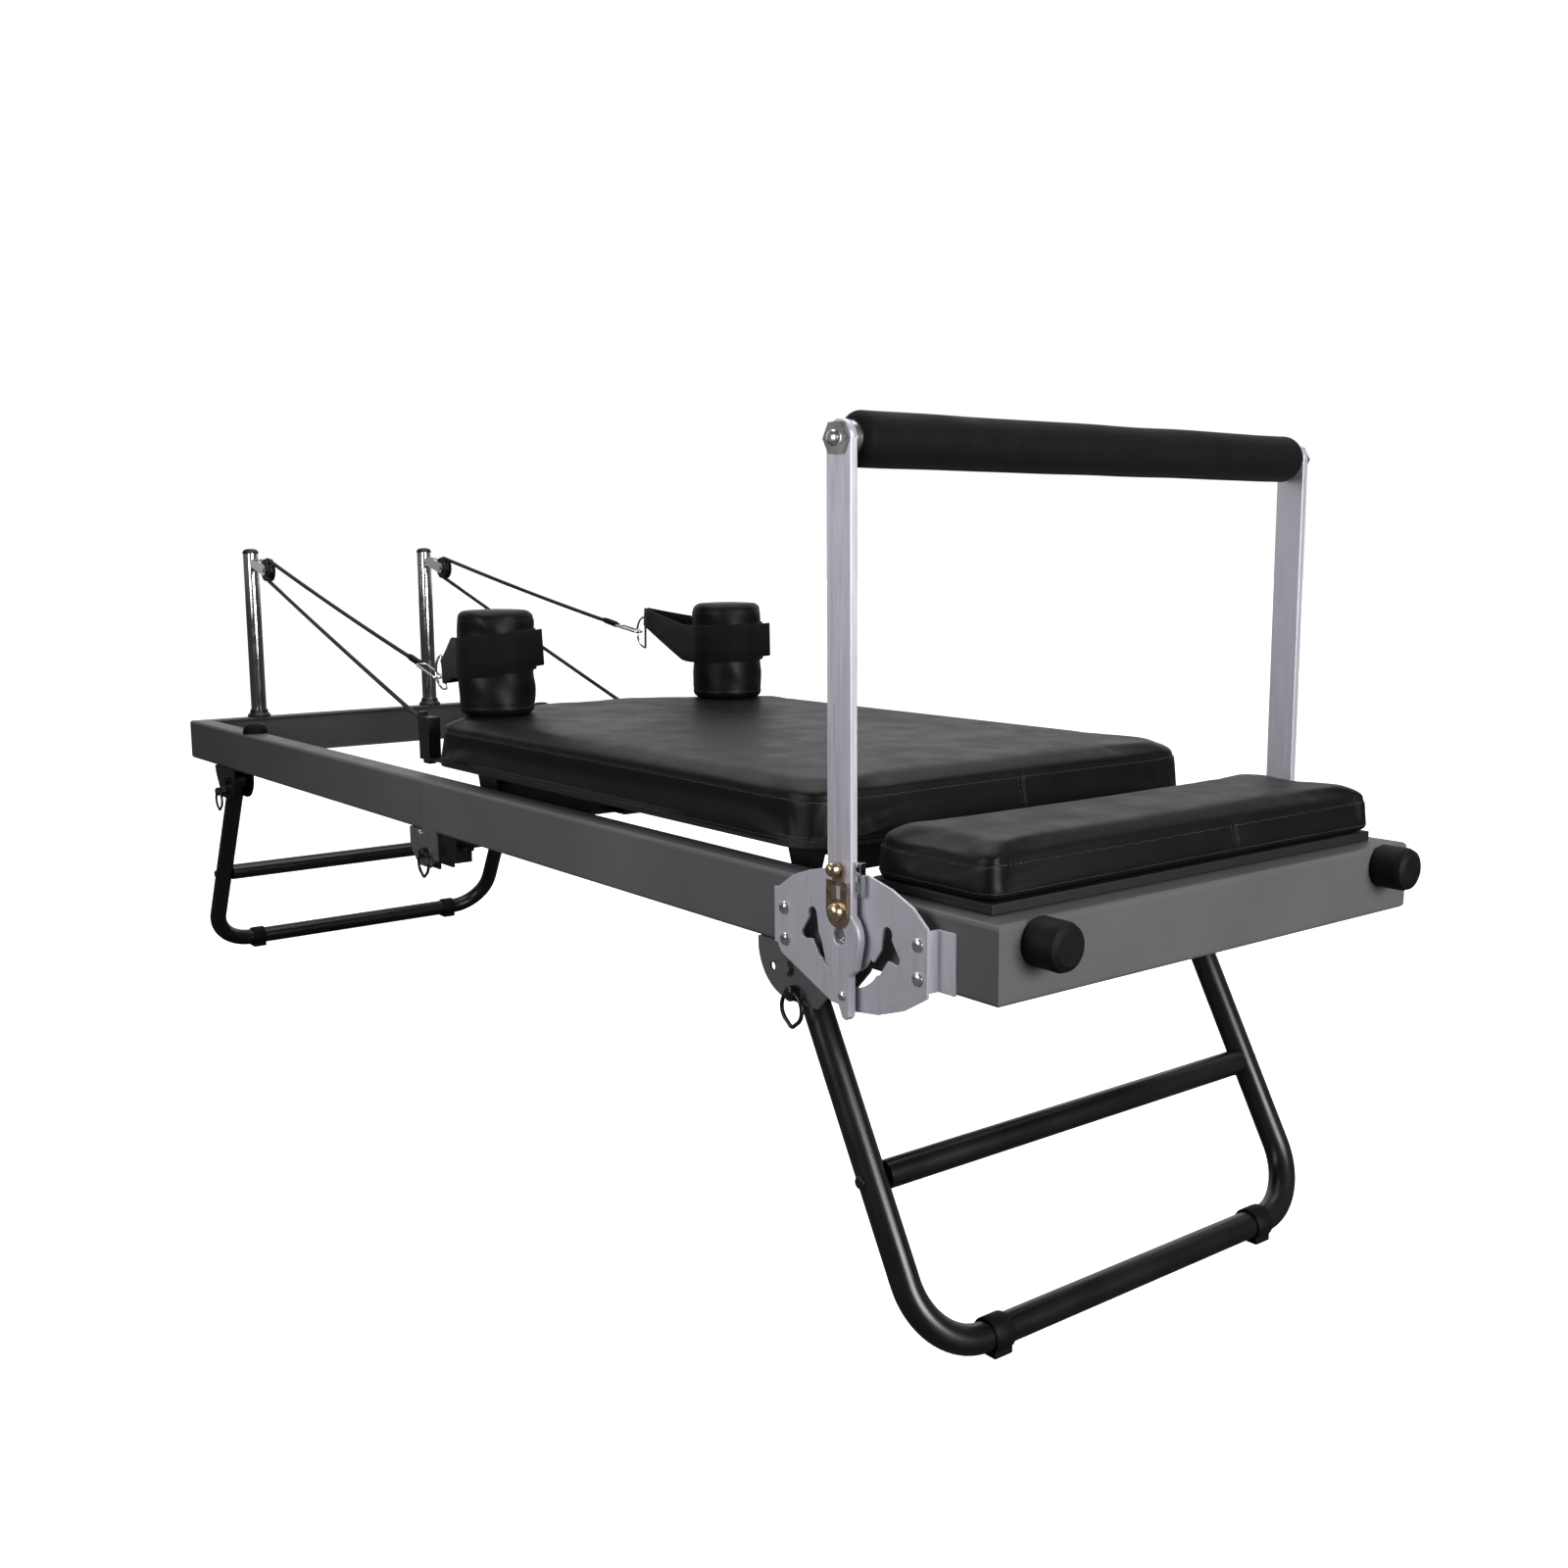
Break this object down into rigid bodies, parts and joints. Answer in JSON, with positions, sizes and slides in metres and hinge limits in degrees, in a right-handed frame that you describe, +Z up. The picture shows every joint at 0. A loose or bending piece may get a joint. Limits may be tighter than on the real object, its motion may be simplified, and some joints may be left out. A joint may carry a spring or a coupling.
{
  "type": "folding pilates reformer",
  "caption": "Folding pilates reformer: a low steel rail frame on fold-out legs with a sprung rolling padded carriage, shoulder rests, pulley ropes on posts and a pivoting footbar.",
  "frame": {"origin": "floor level, at the centre of the bounding box of the standing reformer", "axes": "+X to the foot end, +Y to the far side (left when facing the foot end), +Z up"},
  "size_m": [2.156, 0.6802, 0.8705],
  "materials": {
    "charcoal_coat": "satin charcoal powder coat",
    "black_coat": "satin black powder coat",
    "pale_steel": "pale satin zinc plate",
    "zinc_bolts": "bright zinc",
    "chrome": "polished",
    "yellow_zinc": "yellow passivated zinc",
    "spring_steel": "satin",
    "black_leather": "smooth, satin",
    "black_board": "black painted",
    "black_rubber": "matt",
    "foam_grip": "matt foam",
    "black_plastic": "matt",
    "wheel_plastic": "smooth",
    "webbing": "woven",
    "rope": "twisted"
  },
  "bodies": {
    "foot_section": {"foot_frame": "charcoal_coat", "platform_board": "black_board", "platform_cushion": "black_leather", "quadrant_plates": "pale_steel", "quadrant_bolts": "zinc_bolts", "foot_bumpers": "black_rubber", "foot_leg_brackets": "charcoal_coat", "fold_plates_foot": "black_coat", "spring_bar": "zinc_bolts"},
    "head_section": {"head_frame": "charcoal_coat", "posts": "chrome", "post_caps": "black_plastic", "post_collars": "black_plastic", "dome_bumpers": "black_rubber", "head_leg_brackets": "black_coat", "fold_plates_head": "charcoal_coat", "fold_bolts": "zinc_bolts"},
    "head_leg": {"head_leg_tube": "black_coat", "head_leg_crossbar": "black_coat", "head_leg_feet": "black_rubber"},
    "foot_leg": {"foot_leg_tube": "black_coat", "foot_leg_crossbar": "black_coat", "foot_leg_feet": "black_rubber"},
    "footbar": {"footbar_arms": "pale_steel", "footbar_tube": "zinc_bolts", "footbar_grip": "foam_grip", "footbar_bolts": "zinc_bolts", "footbar_clips": "chrome"},
    "latch_near": {"latch_near": "yellow_zinc"},
    "latch_far": {"latch_far": "yellow_zinc"},
    "carriage": {"carriage_board": "black_board", "carriage_cushion": "black_leather", "carriage_chassis": "black_coat", "wheel_brackets": "black_coat", "rest_cores": "black_coat", "rest_pads": "black_leather", "cleats": "black_plastic", "straps": "webbing", "strap_rings": "chrome", "carabiners": "chrome", "springs": "spring_steel", "rope_near": "rope", "rope_far": "rope"},
    "wheel_head_near": {"wheel_head_near": "wheel_plastic"},
    "wheel_head_far": {"wheel_head_far": "wheel_plastic"},
    "wheel_foot_near": {"wheel_foot_near": "wheel_plastic"},
    "wheel_foot_far": {"wheel_foot_far": "wheel_plastic"},
    "pulley_near": {"pulley_near": "chrome"},
    "pulley_far": {"pulley_far": "chrome"},
    "sheave_near": {"sheave_near": "black_plastic"},
    "sheave_far": {"sheave_far": "black_plastic"},
    "fold_pin_near": {"fold_pin_near": "black_coat"},
    "fold_pin_far": {"fold_pin_far": "black_coat"},
    "head_pin_near": {"head_pin_near": "black_coat"},
    "head_pin_far": {"head_pin_far": "black_coat"},
    "foot_pin_near": {"foot_pin_near": "black_coat"},
    "foot_pin_far": {"foot_pin_far": "black_coat"}
  },
  "joints": [
    {"name": "fold_hinge", "type": "hinge", "parent": "foot_section", "child": "head_section", "pos_m": [-0.068, 0, 0.339], "axis": [0, -1, 0], "range_deg": [0, 140]},
    {"name": "head_leg_hinge", "type": "hinge", "parent": "head_section", "child": "head_leg", "pos_m": [-0.87695, 0, 0.35287], "axis": [0, -1, 0], "range_deg": [0, 118.8]},
    {"name": "foot_leg_hinge", "type": "hinge", "parent": "foot_section", "child": "foot_leg", "pos_m": [0.76, 0, 0.35287], "axis": [0, 1, 0], "range_deg": [0, 118.8]},
    {"name": "footbar_hinge", "type": "hinge", "parent": "foot_section", "child": "footbar", "pos_m": [0.869, 0, 0.408], "axis": [0, 1, 0], "range_deg": [-60, 95]},
    {"name": "latch_near_slide", "type": "slide", "parent": "footbar", "child": "latch_near", "axis": [0, 0, 1], "range_m": [0, 0.01]},
    {"name": "latch_far_slide", "type": "slide", "parent": "footbar", "child": "latch_far", "axis": [0, 0, 1], "range_m": [0, 0.01]},
    {"name": "carriage_slide", "type": "slide", "parent": "foot_section", "child": "carriage", "axis": [-1, 0, 0], "range_m": [0, 0.66], "stiffness_N_per_m": 260, "deforming": ["springs", "rope_near", "rope_far"]},
    {"name": "wheel_head_near_spin", "type": "hinge", "parent": "carriage", "child": "wheel_head_near", "pos_m": [0.05, -0.286, 0.4011], "axis": [0, 1, 0], "continuous": true},
    {"name": "wheel_head_far_spin", "type": "hinge", "parent": "carriage", "child": "wheel_head_far", "pos_m": [0.05, 0.286, 0.4011], "axis": [0, 1, 0], "continuous": true},
    {"name": "wheel_foot_near_spin", "type": "hinge", "parent": "carriage", "child": "wheel_foot_near", "pos_m": [0.73, -0.286, 0.4011], "axis": [0, 1, 0], "continuous": true},
    {"name": "wheel_foot_far_spin", "type": "hinge", "parent": "carriage", "child": "wheel_foot_far", "pos_m": [0.73, 0.286, 0.4011], "axis": [0, 1, 0], "continuous": true},
    {"name": "pulley_near_tilt", "type": "hinge", "parent": "head_section", "child": "pulley_near", "pos_m": [-1.02, -0.175, 0.734], "axis": [0, 1, 0], "range_deg": [-20, 20]},
    {"name": "sheave_near_spin", "type": "hinge", "parent": "pulley_near", "child": "sheave_near", "pos_m": [-0.962, -0.175, 0.722], "axis": [0, 1, 0], "continuous": true},
    {"name": "pulley_far_tilt", "type": "hinge", "parent": "head_section", "child": "pulley_far", "pos_m": [-1.02, 0.175, 0.734], "axis": [0, 1, 0], "range_deg": [-20, 20]},
    {"name": "sheave_far_spin", "type": "hinge", "parent": "pulley_far", "child": "sheave_far", "pos_m": [-0.962, 0.175, 0.722], "axis": [0, 1, 0], "continuous": true},
    {"name": "fold_pin_near_pull", "type": "slide", "parent": "head_section", "child": "fold_pin_near", "axis": [0, -1, 0], "range_m": [0, 0.01]},
    {"name": "fold_pin_far_pull", "type": "slide", "parent": "head_section", "child": "fold_pin_far", "axis": [0, 1, 0], "range_m": [0, 0.01]},
    {"name": "head_pin_near_pull", "type": "slide", "parent": "head_section", "child": "head_pin_near", "axis": [0, -1, 0], "range_m": [0, 0.01]},
    {"name": "head_pin_far_pull", "type": "slide", "parent": "head_section", "child": "head_pin_far", "axis": [0, 1, 0], "range_m": [0, 0.01]},
    {"name": "foot_pin_near_pull", "type": "slide", "parent": "foot_section", "child": "foot_pin_near", "axis": [0, -1, 0], "range_m": [0, 0.01]},
    {"name": "foot_pin_far_pull", "type": "slide", "parent": "foot_section", "child": "foot_pin_far", "axis": [0, 1, 0], "range_m": [0, 0.01]}
  ],
  "couplings": [
    {"joint": "wheel_head_near_spin", "follows": "carriage_slide", "rad_per_m": -43.478},
    {"joint": "wheel_head_far_spin", "follows": "carriage_slide", "rad_per_m": -43.478},
    {"joint": "wheel_foot_near_spin", "follows": "carriage_slide", "rad_per_m": -43.478},
    {"joint": "wheel_foot_far_spin", "follows": "carriage_slide", "rad_per_m": -43.478}
  ]
}
